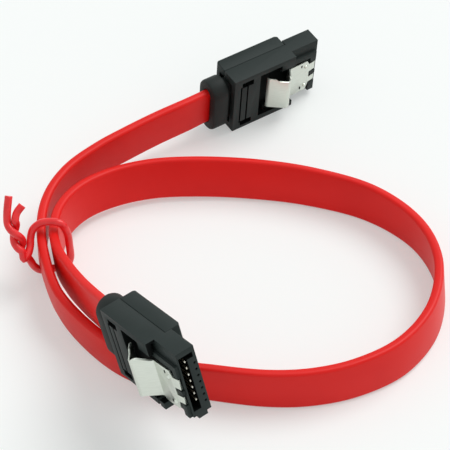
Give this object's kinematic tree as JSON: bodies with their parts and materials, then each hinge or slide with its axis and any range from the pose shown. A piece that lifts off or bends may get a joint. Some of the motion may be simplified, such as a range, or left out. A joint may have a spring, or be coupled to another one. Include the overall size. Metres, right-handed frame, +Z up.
{
  "type": "sata data cable",
  "caption": "Short flat red data cable standing on its edge in an open loop, held by a twisted wire tie, with a black latching plug at each end.",
  "frame": {"origin": "centre of the bounding box's bottom, on the surface that the cable stands on", "axes": "+Z up, +Y from the raised plug across the loop to the plug that lies on the surface, +X to the side of the loop's free bend"},
  "size_m": [0.0779, 0.0974, 0.0274],
  "materials": {
    "jacket": "satin",
    "tie": "glossy",
    "housing": "satin",
    "boot": "satin",
    "latch_steel": "satin",
    "contact": "bright"
  },
  "bodies": {
    "cable": {"cable_jacket": "jacket", "wire_tie": "tie", "plug_a_housing": "housing", "plug_a_cover": "housing", "plug_a_boot": "boot", "plug_a_contact_1": "contact", "plug_a_contact_2": "contact", "plug_a_contact_3": "contact", "plug_a_contact_4": "contact", "plug_a_contact_5": "contact", "plug_a_contact_6": "contact", "plug_a_contact_7": "contact", "plug_b_housing": "housing", "plug_b_cover": "housing", "plug_b_boot": "boot", "plug_b_contact_1": "contact", "plug_b_contact_2": "contact", "plug_b_contact_3": "contact", "plug_b_contact_4": "contact", "plug_b_contact_5": "contact", "plug_b_contact_6": "contact", "plug_b_contact_7": "contact"},
    "latch_a": {"plug_a_latch_spring": "latch_steel"},
    "latch_b": {"plug_b_latch_spring": "latch_steel"}
  },
  "joints": [
    {"name": "latch_a_press", "type": "hinge", "parent": "cable", "child": "latch_a", "pos_m": [0.0172, 0.04492, 0.00643], "axis": [-0.0484, 0.0829, -0.9954], "range_deg": [0, 4.5], "stiffness_Nm_per_rad": 0.5},
    {"name": "latch_b_press", "type": "hinge", "parent": "cable", "child": "latch_b", "pos_m": [-0.00672, -0.04741, 0.02002], "axis": [0.2234, -0.199, -0.9542], "range_deg": [0, 4.5], "stiffness_Nm_per_rad": 0.5}
  ]
}
